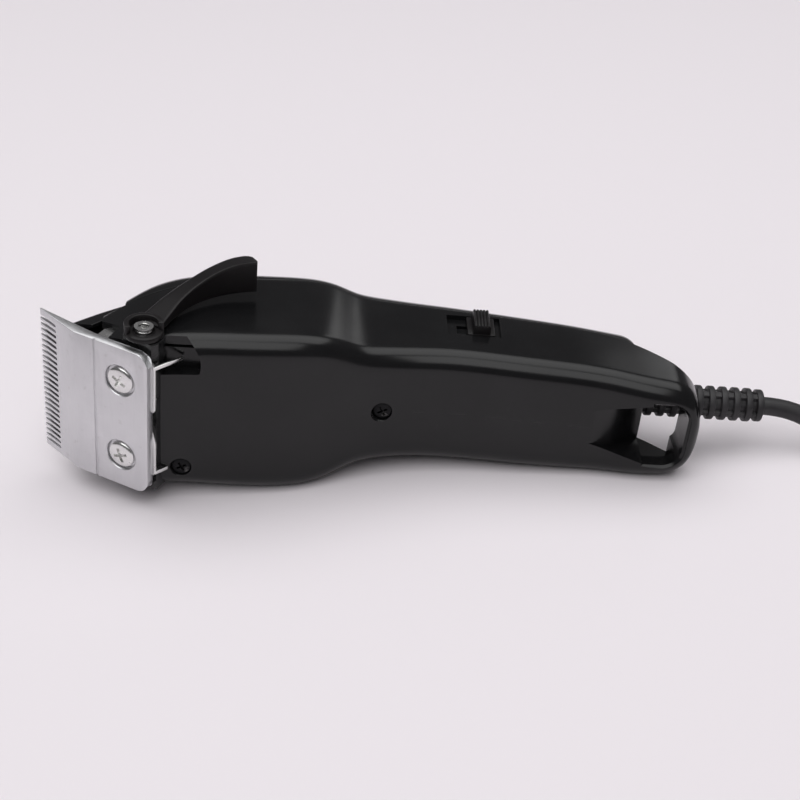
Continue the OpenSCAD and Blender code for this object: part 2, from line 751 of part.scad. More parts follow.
// Flat two-pin plug that lies on the hank
plug_w = 35;
plug_t = 13.6;
plug_l = 27;
plug_x = 198;
pin_pitch = 18.6;
pin_r = 2;
pin_l = 19;
module at_plug() {
    translate([plug_x, hank_y, hank_h + plug_t / 2]) rotate([0, 0, -90]) children();
}
module plug_body() {
    color([0.08, 0.08, 0.09]) at_plug() difference() {
        linear_extrude(height = plug_t, center = true) polygon([
            [-4, -8], [4, -8], [6, 0], [plug_w / 2 - 4, 6], [plug_w / 2, 12], [plug_w / 2 - 1.5, plug_l],
            [1.5 - plug_w / 2, plug_l], [-plug_w / 2, 12], [4 - plug_w / 2, 6], [-6, 0]
        ]);
        for (s = [-1, 1]) post(s * pin_pitch / 2, plug_l - 6, 0, pin_r - 0.4, 9);
    }
}
module plug_pins() {
    color([0.78, 0.79, 0.8]) at_plug() for (s = [-1, 1]) {
        post(s * pin_pitch / 2, plug_l - 6, 0, pin_r - 0.4, 7);
        post(s * pin_pitch / 2, plug_l, 0, pin_r, pin_l);
    }
}

lay_down() bottom_housing();
lay_down() top_cover();
lay_down() cover_screws();
lay_down() fixed_blade();
lay_down() blade_plate();
lay_down() blade_screws();
lay_down() moving_blade();
lay_down() drive_foot();
lay_down() tension_spring();
lay_down() taper_carriage();
lay_down() taper_lever();
lay_down() lever_cam();
lay_down() lever_screw();
lay_down() lever_washer();
lay_down() drive_arm();
lay_down() armature_plate();
lay_down() armature_rivets();
lay_down() drive_pin();
lay_down() main_spring();
lay_down() pivot_bracket();
lay_down() bracket_screws();
lay_down() lamination_core();
lay_down() coil_bobbin();
lay_down() coil_winding();
lay_down() core_screws();
lay_down() power_screw();
lay_down() switch_knob();
lay_down() switch_body();
lay_down() switch_terminals();
lay_down() internal_leads();
lay_down() cord_clamp();
lay_down() clamp_screws();
lay_down() strain_relief();
cord_tube();
cord_hank();
cord_tie();
plug_body();
plug_pins();
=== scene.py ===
"""Looks for a corded hair clipper that lies on its side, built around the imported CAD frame.

Shapes are drawn in millimetres in the clipper's own frame (x from the teeth to the tail,
y from the blade face to the top cover, z across the width) and then laid down as the frame has them.
"""
import json
import math

import bmesh
import bpy
from mathutils import Matrix, Vector


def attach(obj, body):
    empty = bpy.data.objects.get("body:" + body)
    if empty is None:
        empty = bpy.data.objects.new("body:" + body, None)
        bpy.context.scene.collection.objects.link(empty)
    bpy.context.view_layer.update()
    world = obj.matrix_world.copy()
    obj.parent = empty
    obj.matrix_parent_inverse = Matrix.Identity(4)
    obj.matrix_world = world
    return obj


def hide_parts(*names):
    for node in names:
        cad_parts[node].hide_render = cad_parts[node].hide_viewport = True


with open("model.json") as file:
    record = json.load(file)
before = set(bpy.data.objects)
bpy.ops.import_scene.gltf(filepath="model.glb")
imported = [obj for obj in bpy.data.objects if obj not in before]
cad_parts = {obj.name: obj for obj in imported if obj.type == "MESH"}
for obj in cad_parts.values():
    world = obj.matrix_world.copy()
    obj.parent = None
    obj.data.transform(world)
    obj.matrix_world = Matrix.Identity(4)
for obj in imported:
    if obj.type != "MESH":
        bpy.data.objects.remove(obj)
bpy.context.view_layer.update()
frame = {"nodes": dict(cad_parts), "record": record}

# ---------------------------------------------------------------- driving sizes, in mm and degrees
MM = 0.001
HEAD_W = 51
WAIST_W = 37.6
TAIL_W = 34
TAIL_END = 171
BODY_END = 153
NOSE_X = -8.4
WALL = 2.2
PART_GAP = 0.2
BOTTOM_ROUND = 5.5
TOP_ROUND = 10
TAIL_ROUND = 9
NOSE_STEP = 6
NOSE_HIGH = 24.2
NOSE_SLOPE = 0.32
NOSE_ROUND = 2.5
NOSE_INSET = 1.6
CAVITY_END = 147
CHEEK_T = 3.2
GUSSET_X = 104
TUB_FRONT = 0.8

BLADE_W = 46
BLADE_ANGLE = 27.2
FOOT_L = 17.2
FOOT_T = 2.6
LAND_L = 5.7
BEVEL_L = 16.3
BEVEL_ANGLE = 17.4
TIP_T = 0.5
SLOT_COUNT = 24
SLOT_L = 7
SLOT_HALF = 0.46
SCREW_PITCH = 25
BLADE_SCREW_X = -8.25
RECESS_R = 4.75
HEEL_R = 4
CUTTER_W = 36

LEVER = (13.5, 0.8, 25.1)
HUB_R = 5.4
HUB_T = 1.5
SWITCH_X = (97.5, 113)
SWITCH_Y = (21.5, 32)
KNOB_X = 107.3
POCKET_FLOOR = 1.8
POCKET_LOW = 14.6

WINDOW_X = (156.5, 167)
WINDOW_HALF = 10.5
WINDOW_ROUND = 5.5
SCOOP_START = (138.2, 5.2)
SCOOP_END = (158, WINDOW_HALF)
SCOOP_DEPTH = 15

RELIEF_Y = 22.5
RELIEF_END = 193
RELIEF_R = 5
RIB_PITCH = 3.7

CORD_D = 5.5
HANK = (160, 1.5)
HANK_RUN = 92
HANK_HIGH = 4
HANK_RADII = (4 * CORD_D, 3 * CORD_D)
FOLD_STEPS = 10
TIE_W = 8
CORD_ROUTE = (
    (105.2, 3.15, 13.2), (110, 3.1, 12.7), (116, 2.4, 11.2), (122, 0.4, 8.8), (128, -3.2, 6),
    (134, -8, 3.9), (140, -12.8, 2.9), (146, -16.6, 2.75), (153, -19.5, 2.75), (160, -20.5, 2.75),
)
PLUG_X = 198
PLUG_W = 35
PLUG_T = 13.6
PLUG_L = 27
PLUG_NECK = 8
PIN_PITCH = 18.6
PLUG_Z = HANK_HIGH * CORD_D + PLUG_T / 2

SIDE_CURVE = (
    (-9, 0.37 * HEAD_W), (0, 0.425 * HEAD_W), (10, 0.47 * HEAD_W), (24, 0.4925 * HEAD_W),
    (45, 0.504 * HEAD_W), (57, 0.498 * HEAD_W), (64, 0.47 * HEAD_W), (73, 0.535 * WAIST_W),
    (84, 0.5 * WAIST_W), (103, 0.495 * WAIST_W), (133, 0.48 * WAIST_W), (150, 0.5 * TAIL_W),
    (160, 0.4775 * TAIL_W), (TAIL_END, 0.44 * TAIL_W),
)
BOTTOM_CURVE = (
    (-9, -9), (20, -2.6), (45, -1.2), (57, 0.2), (65, 2.4), (76, 6), (86, 7.9), (96, 8.7),
    (106, 8.4), (120, 7.2), (142, 5.6), (156, 3.2), (TAIL_END, 2.6),
)
TOP_CURVE = (
    (-9, 12), (0, 21.5), (8, 31), (14, 37), (22, 41.3), (34, 43.4), (50, 44.2), (64, 45.2),
    (76, 46.6), (86, 46.2), (104, 44), (134, 40), (BODY_END, 37.5),
)
PARTING_CURVE = (
    (-14, 8), (0, 14), (14, 24), (28, 31), (50, 34), (76, 37), (104, 34.6), (134, 31), (158, 26.6),
)
GUSSET_CURVE = (
    (104, 34.6), (134, 31), (146, 28.6), (BODY_END, 25.2), (160, 20.4), (166, 15.6), (TAIL_END, 12.6),
)

# the cover's screws: place along and across the body, and the level of the head's seat
OPEN_SCREWS = ((24, -17, -0.5), (80, 0, 8.7))
COVERED_SCREW = (24, 17, 4.5)

TILT = 5
LIFT = 30
WORLD = Matrix.Scale(MM, 4)
LAY_DOWN = WORLD @ Matrix.Translation((-87, -19.35, LIFT)) @ Matrix.Rotation(math.radians(TILT), 4, "Y")
ON_BLADE = Matrix.Rotation(math.radians(180 - BLADE_ANGLE), 4, "Z")
TIP_X = LAND_L + BEVEL_L * math.cos(math.radians(BEVEL_ANGLE))
TIP_Y = -BEVEL_L * math.sin(math.radians(BEVEL_ANGLE))
BEND = (2, -2.9)
CUT_ANGLE = math.atan2(BEND[1] - TIP_Y + TIP_T, TIP_X - BEND[0])
CUT_L = (TIP_X - BEND[0]) / math.cos(CUT_ANGLE)
ON_CUT = ON_BLADE @ Matrix.Translation((*BEND, 0)) @ Matrix.Rotation(-CUT_ANGLE, 4, "Z")
PLATE_T = 1
SEAT_LEVEL = -FOOT_T - PLATE_T


# ---------------------------------------------------------------- curves
def slope(points, k):
    a, b = max(k - 1, 0), min(k + 1, len(points) - 1)
    return (points[b][1] - points[a][1]) / (points[b][0] - points[a][0])


def curve(points, x):
    """Smooth line through [distance, value] points, the one that the CAD part uses."""
    k = max([i for i in range(len(points) - 1) if points[i][0] <= x], default=0)
    (x0, a), (x1, b) = points[k], points[k + 1]
    h = x1 - x0
    t = min(1, max(0, (x - x0) / h))
    bulge = h * t * (1 - t) * (slope(points, k) * (1 - t) - slope(points, k + 1) * t)
    return a * (1 - t) ** 2 * (1 + 2 * t) + b * t * t * (3 - 2 * t) + bulge


def end_inset(x, end, radius):
    """How far an outline has drawn in where it rounds off towards its end."""
    if x < end - radius:
        return 0
    return radius - math.sqrt(max(0, radius**2 - (x - end + radius) ** 2))


def half_width(x):
    return curve(SIDE_CURVE, x) - end_inset(x, TAIL_END, TAIL_ROUND)


def spaced(low, high, step):
    count = math.ceil((high - low) / step)
    return [low + (high - low) * k / count for k in range(count + 1)]


def eased(end, radius, count):
    """Places that crowd towards an end, for a rounded edge there."""
    return [end - radius * (1 - math.sin(math.pi / 2 * k / count)) for k in range(count + 1)]


def resample(points, count):
    """The same 2-D line as count points at even distances."""
    ends = [0]
    for a, b in zip(points, points[1:]):
        ends.append(ends[-1] + math.dist(a, b))
    result, k = [], 0
    for i in range(count):
        d = ends[-1] * i / (count - 1)
        while k < len(points) - 2 and ends[k + 1] < d:
            k += 1
        t = (d - ends[k]) / max(ends[k + 1] - ends[k], 1e-9)
        a, b = points[k], points[k + 1]
        result.append((a[0] + (b[0] - a[0]) * t, a[1] + (b[1] - a[1]) * t))
    return result


def arc(centre, radius, start, end, steps):
    """Points (x, y) on a round corner, angles in degrees."""
    angles = [math.radians(start + (end - start) * k / steps) for k in range(steps + 1)]
    return [(centre[0] + radius * math.cos(a), centre[1] + radius * math.sin(a)) for a in angles]


# ---------------------------------------------------------------- mesh building
def solid(name, points, faces):
    """A mesh object in millimetres from points and faces, with its normals outwards."""
    mesh = bpy.data.meshes.new(name)
    mesh.from_pydata([tuple(p) for p in points], [], faces)
    bm = bmesh.new()
    bm.from_mesh(mesh)
    bmesh.ops.remove_doubles(bm, verts=bm.verts, dist=1e-4)
    bmesh.ops.recalc_face_normals(bm, faces=bm.faces)
    bm.to_mesh(mesh)
    bm.free()
    obj = bpy.data.objects.new(name, mesh)
    bpy.context.scene.collection.objects.link(obj)
    return obj


def loft(name, rings, capped=True):
    """A skin through rings that have the same number of points."""
    n = len(rings[0])
    points = [p for ring in rings for p in ring]
    faces = [
        (i * n + j, i * n + (j + 1) % n, (i + 1) * n + (j + 1) % n, (i + 1) * n + j)
        for i in range(len(rings) - 1)
        for j in range(n)
    ]
    if capped:
        faces += [tuple(range(n))[::-1], tuple(range(len(points) - n, len(points)))]
    return solid(name, points, faces)


def prism(name, outline, low, high, steps=1):
    """A side outline in x and y, run along z."""
    levels = [low + (high - low) * k / steps for k in range(steps + 1)]
    return loft(name, [[(x, y, z) for x, y in outline] for z in levels])


def block(name, low, high):
    outline = [(low[0], low[1]), (high[0], low[1]), (high[0], high[1]), (low[0], high[1])]
    return prism(name, outline, low[2], high[2])


def revolve(name, profile, steps=48):
    """A profile of (radius, z) points turned round z."""
    turns = [2 * math.pi * k / steps for k in range(steps)]
    rings = []
    for r, z in profile:
        r = max(r, 1e-3)
        rings.append([(r * math.cos(a), r * math.sin(a), z) for a in turns])
    return loft(name, rings)


def place(obj, matrix):
    obj.data.transform(matrix)
    return obj


def bake_modifiers(obj):
    depsgraph = bpy.context.evaluated_depsgraph_get()
    mesh = bpy.data.meshes.new_from_object(obj.evaluated_get(depsgraph))
    obj.modifiers.clear()
    obj.data = mesh
    return obj


def combine(target, tool, operation="DIFFERENCE"):
    modifier = target.modifiers.new("combine", "BOOLEAN")
    modifier.operation = operation
    modifier.solver = "MANIFOLD"
    modifier.object = tool
    bake_modifiers(target)
    bpy.data.objects.remove(tool)
    return target


def cut(target, *tools):
    for tool in tools:
        combine(target, tool)
    return target


def join(*objects):
    """Puts separate solids into the first one's mesh."""
    bm = bmesh.new()
    for o in objects:
        bm.from_mesh(o.data)
    bm.to_mesh(objects[0].data)
    bm.free()
    for o in objects[1:]:
        bpy.data.objects.remove(o)
    return objects[0]


def round_edges(obj, width, segments=2, angle=40):
    modifier = obj.modifiers.new("round", "BEVEL")
    modifier.width = width
    modifier.segments = segments
    modifier.limit_method = "ANGLE"
    modifier.angle_limit = math.radians(angle)
    return bake_modifiers(obj)


def smooth(obj, angle=35):
    obj.data.polygons.foreach_set("use_smooth", [True] * len(obj.data.polygons))
    obj.data.set_sharp_from_angle(angle=math.radians(angle))
    return obj


def finish_piece(obj, material, body, slot, *nodes, matrix=LAY_DOWN, angle=35):
    """Lays a piece down in the frame, gives it its material and hides the CAD parts that it stands for."""
    place(obj, matrix)
    smooth(obj, angle)
    obj.data.materials.clear()
    obj.data.materials.append(material)
    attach(obj, body)
    if nodes:
        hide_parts(*nodes)
    return obj


# ---------------------------------------------------------------- materials
class Shader:
    """A small helper around a Principled material's nodes, in object coordinates."""

    def __init__(self, name, color, roughness, **sockets):
        self.material = bpy.data.materials.new(name)
        self.material.use_nodes = True
        self.tree = self.material.node_tree
        self.principled = self.tree.nodes["Principled BSDF"]
        self.principled.inputs["Base Color"].default_value = (*color, 1)
        self.principled.inputs["Roughness"].default_value = roughness
        for key, value in sockets.items():
            self.principled.inputs[key.replace("_", " ")].default_value = value
        self.coordinates = self.add("ShaderNodeTexCoord").outputs["Object"]
        self.color = color

    def add(self, kind, **inputs):
        node = self.tree.nodes.new(kind)
        for key, value in inputs.items():
            socket = node.inputs[key.replace("_", " ")]
            if isinstance(value, bpy.types.NodeSocket):
                self.tree.links.new(value, socket)
            else:
                socket.default_value = value
        return node

    def scaled(self, scale, turn=(0, 0, 0)):
        """Object coordinates times scale, in cycles per metre along each axis."""
        turned = self.add("ShaderNodeMapping", Vector=self.coordinates, Rotation=turn)
        return self.add("ShaderNodeMapping", Vector=turned.outputs[0], Scale=scale).outputs[0]

    def noise(self, scale, detail=4, turn=(0, 0, 0)):
        vector = self.scaled(scale if isinstance(scale, tuple) else (scale,) * 3, turn)
        node = self.add("ShaderNodeTexNoise", Vector=vector, Scale=1, Detail=detail, Roughness=0.55)
        return node.outputs["Fac"]

    def map(self, value, low, high, to_low, to_high):
        node = self.add("ShaderNodeMapRange", Value=value)
        for key, number in zip(("From Min", "From Max", "To Min", "To Max"), (low, high, to_low, to_high)):
            node.inputs[key].default_value = number
        return node.outputs[0]

    def blend(self, factor, first, second):
        node = self.add("ShaderNodeMix")
        node.data_type = "RGBA"
        self.tree.links.new(factor, node.inputs[0])
        for socket, value in ((node.inputs[6], first), (node.inputs[7], second)):
            if isinstance(value, bpy.types.NodeSocket):
                self.tree.links.new(value, socket)
            else:
                socket.default_value = (*value, 1)
        return node.outputs[2]

    def vary_color(self, factor, other):
        """Mixes another colour over what the base colour is so far."""
        socket = self.principled.inputs["Base Color"]
        first = socket.links[0].from_socket if socket.links else self.color
        self.tree.links.new(self.blend(factor, first, other), socket)

    def vary_roughness(self, factor, low, high):
        self.tree.links.new(self.map(factor, 0.3, 0.7, low, high), self.principled.inputs["Roughness"])

    def bump(self, height, strength, depth):
        """Adds a bump, depth in mm, on top of the ones already there."""
        node = self.add("ShaderNodeBump", Strength=strength, Distance=depth * MM, Height=height)
        socket = self.principled.inputs["Normal"]
        if socket.links:
            self.tree.links.new(socket.links[0].from_socket, node.inputs["Normal"])
        self.tree.links.new(node.outputs[0], socket)

    def worn_edges(self, color, strength):
        """Edges rubbed to another colour, where the surface turns outwards."""
        pointiness = self.add("ShaderNodeNewGeometry").outputs["Pointiness"]
        patchy = self.map(self.noise(260), 0.35, 0.65, 0, strength)
        edge = self.map(pointiness, 0.53, 0.62, 0, 1)
        factor = self.add("ShaderNodeMath")
        factor.operation = "MULTIPLY"
        self.tree.links.new(edge, factor.inputs[0])
        self.tree.links.new(patchy, factor.inputs[1])
        self.vary_color(factor.outputs[0], color)


def moulded(name, color, roughness, grain, depth, smudge=0.06, **sockets):
    """Moulded plastic: a fine mould texture, faint handling smudges and a little dust."""
    s = Shader(name, color, roughness, **sockets)
    s.vary_color(s.map(s.noise(60, 3), 0.4, 0.75, 0, 0.5), tuple(1.35 * c + 0.004 for c in color))
    s.vary_color(s.map(s.noise(4200, 2), 0.7, 0.8, 0, 0.25), (0.25, 0.25, 0.25))
    s.vary_roughness(s.noise(45, 5), roughness - smudge, roughness + smudge)
    s.bump(s.noise(900, 2), grain, depth)
    s.bump(s.noise(70, 2), 0.15, 0.05)
    s.worn_edges(tuple(c + 0.05 for c in color), strength=0.4)
    return s.material


def steel(name, color, roughness, along, turn=0.0, depth=0.006, scratches=0.5):
    """Steel with a fine directional grain, cloudy polish and a few scratches."""
    s = Shader(name, color, roughness, Metallic=1.0)
    s.vary_color(s.map(s.noise(55, 4), 0.35, 0.7, 0, 0.5), tuple(0.86 * c for c in color))
    s.vary_color(s.map(s.noise(340, 5), 0.62, 0.74, 0, 0.35), (0.42, 0.41, 0.40))
    grain = s.noise(along, 3, turn=(0, 0, turn))
    s.vary_roughness(grain, roughness - 0.07, roughness + 0.09)
    s.bump(grain, 0.45, depth)
    scratch = s.noise(tuple(3 * c for c in along), 1, turn=(0.2, 0.1, turn + 0.5))
    s.bump(s.map(scratch, 0.68, 0.74, 0, -1), scratches, 0.01)
    s.worn_edges(tuple(min(1, 1.15 * c) for c in color), strength=0.8)
    return s.material


def rubber(name, color, roughness):
    """Soft matt rubber or cord sheath with a fine pebbled skin."""
    s = Shader(name, color, roughness, **{"Specular IOR Level": 0.4})
    s.vary_color(s.map(s.noise(90, 4), 0.4, 0.75, 0, 0.6), tuple(1.8 * c + 0.006 for c in color))
    s.vary_roughness(s.noise(240, 4), roughness - 0.08, roughness + 0.1)
    s.bump(s.noise(2600, 2), 0.3, 0.02)
    s.worn_edges(tuple(c + 0.06 for c in color), strength=0.35)
    return s.material


def copper_wire():
    """Enamelled wire in close turns."""
    s = Shader("copper_wire", (0.55, 0.24, 0.1), 0.32, Metallic=0.85)
    wave = s.add("ShaderNodeTexWave", Vector=s.scaled((1, 1, 1)), Scale=1100, Distortion=0.3)
    wave.bands_direction = "Z"
    # the grooves between the turns are painted darker: painted shade where the round wires meet
    s.vary_color(s.map(wave.outputs["Fac"], 0, 0.5, 0.7, 0), (0.2, 0.07, 0.03))
    s.bump(wave.outputs["Fac"], 0.8, 0.15)
    return s.material


def woven_strap():
    """Black webbing."""
    s = Shader("woven_strap", (0.03, 0.03, 0.033), 0.8)
    threads = []
    for direction in ("X", "Z"):
        wave = s.add("ShaderNodeTexWave", Vector=s.scaled((1, 1, 1)), Scale=420, Distortion=0.4)
        wave.bands_direction = direction
        threads.append(wave.outputs["Fac"])
    weave = s.add("ShaderNodeMath")
    weave.operation = "MULTIPLY"
    for k, thread in enumerate(threads):
        s.tree.links.new(thread, weave.inputs[k])
    s.vary_color(weave.outputs[0], (0.09, 0.09, 0.1))
    s.bump(weave.outputs[0], 0.9, 0.3)
    return s.material


GRAIN_TURN = math.radians(BLADE_ANGLE)
DULLED = {"Specular IOR Level": 0.35}
MATT = {"Specular IOR Level": 0.22}
MATERIALS = {
    "gloss_black": moulded("gloss_black", (0.005, 0.005, 0.0055), 0.2, 0.1, 0.004, 0.04, **DULLED),
    "satin_black": moulded("satin_black", (0.008, 0.007, 0.0075), 0.36, 0.25, 0.015, 0.06, **MATT),
    "black_moulding": moulded("black_moulding", (0.04, 0.04, 0.042), 0.5, 0.3, 0.02),
    "blade_steel": steel("blade_steel", (0.66, 0.66, 0.675), 0.36, (2400, 2400, 120), GRAIN_TURN),
    "bright_steel": steel("bright_steel", (0.78, 0.78, 0.77), 0.22, (300, 300, 300), 0, 0.004, 0.3),
    "dark_steel": steel("dark_steel", (0.22, 0.22, 0.23), 0.45, (500, 500, 2000), 0, 0.01, 0.4),
    "black_steel": steel("black_steel", (0.02, 0.02, 0.021), 0.5, (500, 500, 2000), 0, 0.01, 0.3),
    # the moving blade's steel is blade_steel's grain made near-black: painted shade that keeps the slots
    # between the fixed blade's teeth dark
    "cutter_steel_painted_shade": steel("cutter_steel_painted_shade", (0.05, 0.05, 0.052), 0.5, (2400, 2400, 120), 0, 0.006, 0.3),
    "copper": copper_wire(),
    "brass": steel("brass", (0.75, 0.55, 0.24), 0.3, (700, 700, 700)),
    "nylon": moulded("nylon", (0.72, 0.69, 0.58), 0.45, 0.2, 0.02),
    "lead_red": moulded("lead_red", (0.35, 0.03, 0.025), 0.35, 0.15, 0.01),
    "black_rubber": rubber("black_rubber", (0.016, 0.015, 0.0165), 0.48),
    "tie_black": woven_strap(),
}


# ---------------------------------------------------------------- camera, lights and floor
# the photo's view: metres, degrees, and mm of lens
CAMERA_AT = (-0.00885, -0.36834, 0.27133)
CAMERA_YAW = 1.06
CAMERA_PITCH = 34.44
CAMERA_LENS = 68.6

# name, place, point it aims at, size, and power in watts
LIGHTS = (
    ("overhead", (0, 0.12, 0.75), (0, 0.02, 0), (1.3, 0.5), 1.3),
    ("ceiling", (0, 0.5, 1.75), (0, 0.45, 0), (3.0, 1.9), 22),
    ("front_fill", (-0.3, -1.2, 1.9), (0, -0.05, 0), (2.6, 1.6), 24),
    ("side_glow", (0.98, 1.8, 0.96), (0, 0, 0.03), (0.36, 0.6), 0.8),
)


def make_camera():
    camera = bpy.data.objects.new("camera", bpy.data.cameras.new("camera"))
    bpy.context.scene.collection.objects.link(camera)
    camera.data.sensor_width = 36
    camera.data.lens = CAMERA_LENS
    camera.data.clip_start = 0.01
    yaw, pitch = math.radians(CAMERA_YAW), math.radians(CAMERA_PITCH)
    ahead = Vector((math.sin(yaw) * math.cos(pitch), math.cos(yaw) * math.cos(pitch), -math.sin(pitch)))
    camera.location = CAMERA_AT
    camera.rotation_euler = ahead.to_track_quat("-Z", "Y").to_euler()
    bpy.context.scene.camera = camera


def area_light(name, place_at, aim, size, power):
    light = bpy.data.lights.new(name, "AREA")
    light.shape = "RECTANGLE"
    light.size, light.size_y = size
    light.energy = power
    obj = bpy.data.objects.new(name, light)
    bpy.context.scene.collection.objects.link(obj)
    obj.location = place_at
    obj.rotation_euler = (Vector(aim) - Vector(place_at)).to_track_quat("-Z", "Y").to_euler()


def make_stage():
    floor = solid("floor", [(-9, -9, 0), (9, -9, 0), (9, 9, 0), (-9, 9, 0)], [(0, 1, 2, 3)])
    s = Shader("floor_paper", (0.83, 0.785, 0.82), 0.75)
    s.vary_color(s.map(s.noise(3, 2), 0.3, 0.7, 0, 0.4), (0.85, 0.80, 0.835))
    floor.data.materials.append(s.material)
    world = bpy.data.worlds.new("studio")
    world.use_nodes = True
    background = world.node_tree.nodes["Background"]
    background.inputs["Color"].default_value = (1.0, 0.97, 1.0, 1)
    background.inputs["Strength"].default_value = 0.13
    bpy.context.scene.world = world
    # the default transform would lift the blacks well above the photo's
    bpy.context.scene.view_settings.view_transform = "Standard"
    for light in LIGHTS:
        area_light(*light)


# ---------------------------------------------------------------- cord, tie and plug
def eased_step(t):
    t = min(1, max(0, t))
    return t * t * (3 - 2 * t)


def fold(x, radius_in, radius_out, z_in, z_out, start):
    """Half a turn at one end of the hank, from one run's place to the next one's."""
    points = []
    for k in range(1, FOLD_STEPS + 1):
        t = k / FOLD_STEPS
        angle = math.radians(start + 180 * t)
        radius = radius_in + (radius_out - radius_in) * eased_step(t)
        z = z_in + (z_out - z_in) * eased_step(t)
        points.append((x + radius * math.cos(angle), HANK[1] + radius * math.sin(angle), z))
    return points


def hank_points():
    """Laps of the hank, side by side and in layers; each passes to the next in the fold near the object."""
    laps = []
    for layer in range(HANK_HIGH):
        order = HANK_RADII if layer % 2 == 0 else HANK_RADII[::-1]
        laps += [(radius, CORD_D * (layer + 0.5)) for radius in order]
    far_end = HANK[0] + HANK_RUN
    straight = [HANK_RUN * t / 6 for t in range(1, 6)]
    points = []
    for k, (radius, z) in enumerate(laps):
        points += [(HANK[0] + d, HANK[1] - radius, z) for d in straight]
        points.append((far_end, HANK[1] - radius, z))
        points += fold(far_end, radius, radius, z, z, -90)
        points += [(far_end - d, HANK[1] + radius, z) for d in straight]
        points.append((HANK[0], HANK[1] + radius, z))
        if k < len(laps) - 1:
            points += fold(HANK[0], radius, laps[k + 1][0], z, laps[k + 1][1], 90)
    return points


def rise_to_plug():
    """The cord's last fold, over the other laps and the tie, and then across to the plug's neck."""
    radius, over = HANK_RADII[1], HANK_HIGH * CORD_D + 3.9
    centre_y = HANK[1] + HANK_RADII[0] - radius
    points = []
    for k in range(1, 13):
        t = k / 12
        angle = math.radians(90 + 180 * t)
        z = CORD_D * (HANK_HIGH - 0.5) + (over - CORD_D * (HANK_HIGH - 0.5)) * eased_step(t / 0.5)
        points.append((HANK[0] + radius * math.cos(angle), centre_y + radius * math.sin(angle), z))
    x0, y0, z0 = points[-1]
    x1, y1, z1 = PLUG_X - PLUG_NECK, HANK[1], PLUG_Z
    for t in (0.2, 0.4, 0.6, 0.8, 1):
        across = eased_step(t)
        points.append((x0 + (x1 - x0) * t, y0 + (y1 - y0) * across, z0 + (z1 - z0) * across))
    return points + [(x1 + 3, y1, z1), (x1 + 6, y1, z1)]


def cord_line():
    """The whole cord: the route on the floor, the hank, and the rise to the plug's neck."""
    return [*CORD_ROUTE, *hank_points(), *rise_to_plug()]


def make_cord():
    points = cord_line()
    data = bpy.data.curves.new("cord", "CURVE")
    data.dimensions = "3D"
    data.bevel_depth = CORD_D * MM / 2
    data.bevel_resolution = 6
    data.resolution_u = 3
    data.use_fill_caps = True
    spline = data.splines.new("NURBS")
    spline.points.add(len(points) - 1)
    for point, p in zip(spline.points, points):
        point.co = (p[0] * MM, p[1] * MM, p[2] * MM, 1)
    spline.order_u = 3
    spline.use_endpoint_u = True
    cord = bpy.data.objects.new("cord", data)
    bpy.context.scene.collection.objects.link(cord)
    data.materials.append(MATERIALS["black_rubber"])
    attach(cord, "housing")
    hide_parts("cord_tube", "cord_hank")
    return cord


def strap_loop(low, high, thickness, turn):
    """Rounded rectangle outline and its outer offset, as two matching lines of (a, b) points."""
    lines = []
    for grow in (0, thickness):
        r = turn + grow
        a0, b0, a1, b1 = low[0] - grow, low[1] - grow, high[0] + grow, high[1] + grow
        line = arc((a1 - r, b1 - r), r, 0, 90, 6) + arc((a0 + r, b1 - r), r, 90, 180, 6)
        line += arc((a0 + r, b0 + r), r, 180, 270, 6) + arc((a1 - r, b0 + r), r, 270, 360, 6)
        lines.append(line)
    return lines


def make_tie():
    outer_radius = HANK_RADII[0] + CORD_D / 2
    high = HANK_HIGH * CORD_D
    low_corner, high_corner = (HANK[1] - outer_radius, 0.8), (HANK[1] + outer_radius, high)
    inner, outer = strap_loop(low_corner, high_corner, 0.75, 2.2)
    x0 = HANK[0] + 5
    x1 = x0 + TIE_W
    rings = [
        [(x, *p) for x, p in ((x0, i), (x0, o), (x0 + 0.4, o), (x1 - 0.4, o), (x1, o), (x1, i))]
        for i, o in zip(inner, outer)
    ]
    tie = loft("cord_tie_strap", rings + [rings[0]], capped=False)
    return finish_piece(tie, MATERIALS["tie_black"], "housing", "tie_black", "cord_tie", matrix=WORLD)


def make_plug():
    """Flat two-pin plug that lies on the hank, with grip ribs on its sides."""
    at_plug = Matrix.Translation((PLUG_X, HANK[1], PLUG_Z)) @ Matrix.Rotation(-math.pi / 2, 4, "Z")
    half = PLUG_W / 2
    side = [
        (4, -PLUG_NECK), (4.4, -4), (5.6, 0), (9, 3.4), (half - 3.4, 6.6), (half - 0.8, 9.6), (half, 13),
        (half - 1.2, PLUG_L),
    ]
    outline = side + [(-x, y) for x, y in side[::-1]]
    body = prism("plug_moulding", outline, -PLUG_T / 2, PLUG_T / 2, 2)
    round_edges(body, 3.2, 5, 50)
    grips = [
        block("grip", (x - 0.9, 11, z - 0.4), (x + 0.9, 23, z + 0.4))
        for x in (-half, half)
        for z in (-2.4, 0, 2.4)
    ]
    cut(body, *grips)
    place(body, at_plug)
    finish_piece(body, MATERIALS["black_rubber"], "housing", "black_rubber", "plug_body", matrix=WORLD)
    profile = [(0, -6), (1.6, -6), (1.6, 0), (2, 0), (2, 17.4), (1.85, 18.3), (1.4, 18.9), (0, 19)]
    pins = []
    for s in (-1, 1):
        pin = revolve("plug_pin", profile, 32)
        at_pin = Matrix.Translation((s * PIN_PITCH / 2, PLUG_L, 0)) @ Matrix.Rotation(-math.pi / 2, 4, "X")
        pins.append(place(pin, at_plug @ at_pin))
    pins = join(*pins)
    pins.name = "plug_pin_pair"
    finish_piece(pins, MATERIALS["bright_steel"], "housing", "bright_steel", "plug_pins", matrix=WORLD)
    return body, pins


def declare_cord():
    points = [Vector(p) * MM for p in cord_line()]


make_camera()
make_stage()
cord = make_cord()
tie = make_tie()
plug_parts = make_plug()
declare_cord()

# ---------------------------------------------------------------- housing shells
CROWN_BOTTOM = 0.35
CROWN_TOP = 1.3
CROWN_SIDE = 0.35
SEAM_ROUND = 0.3


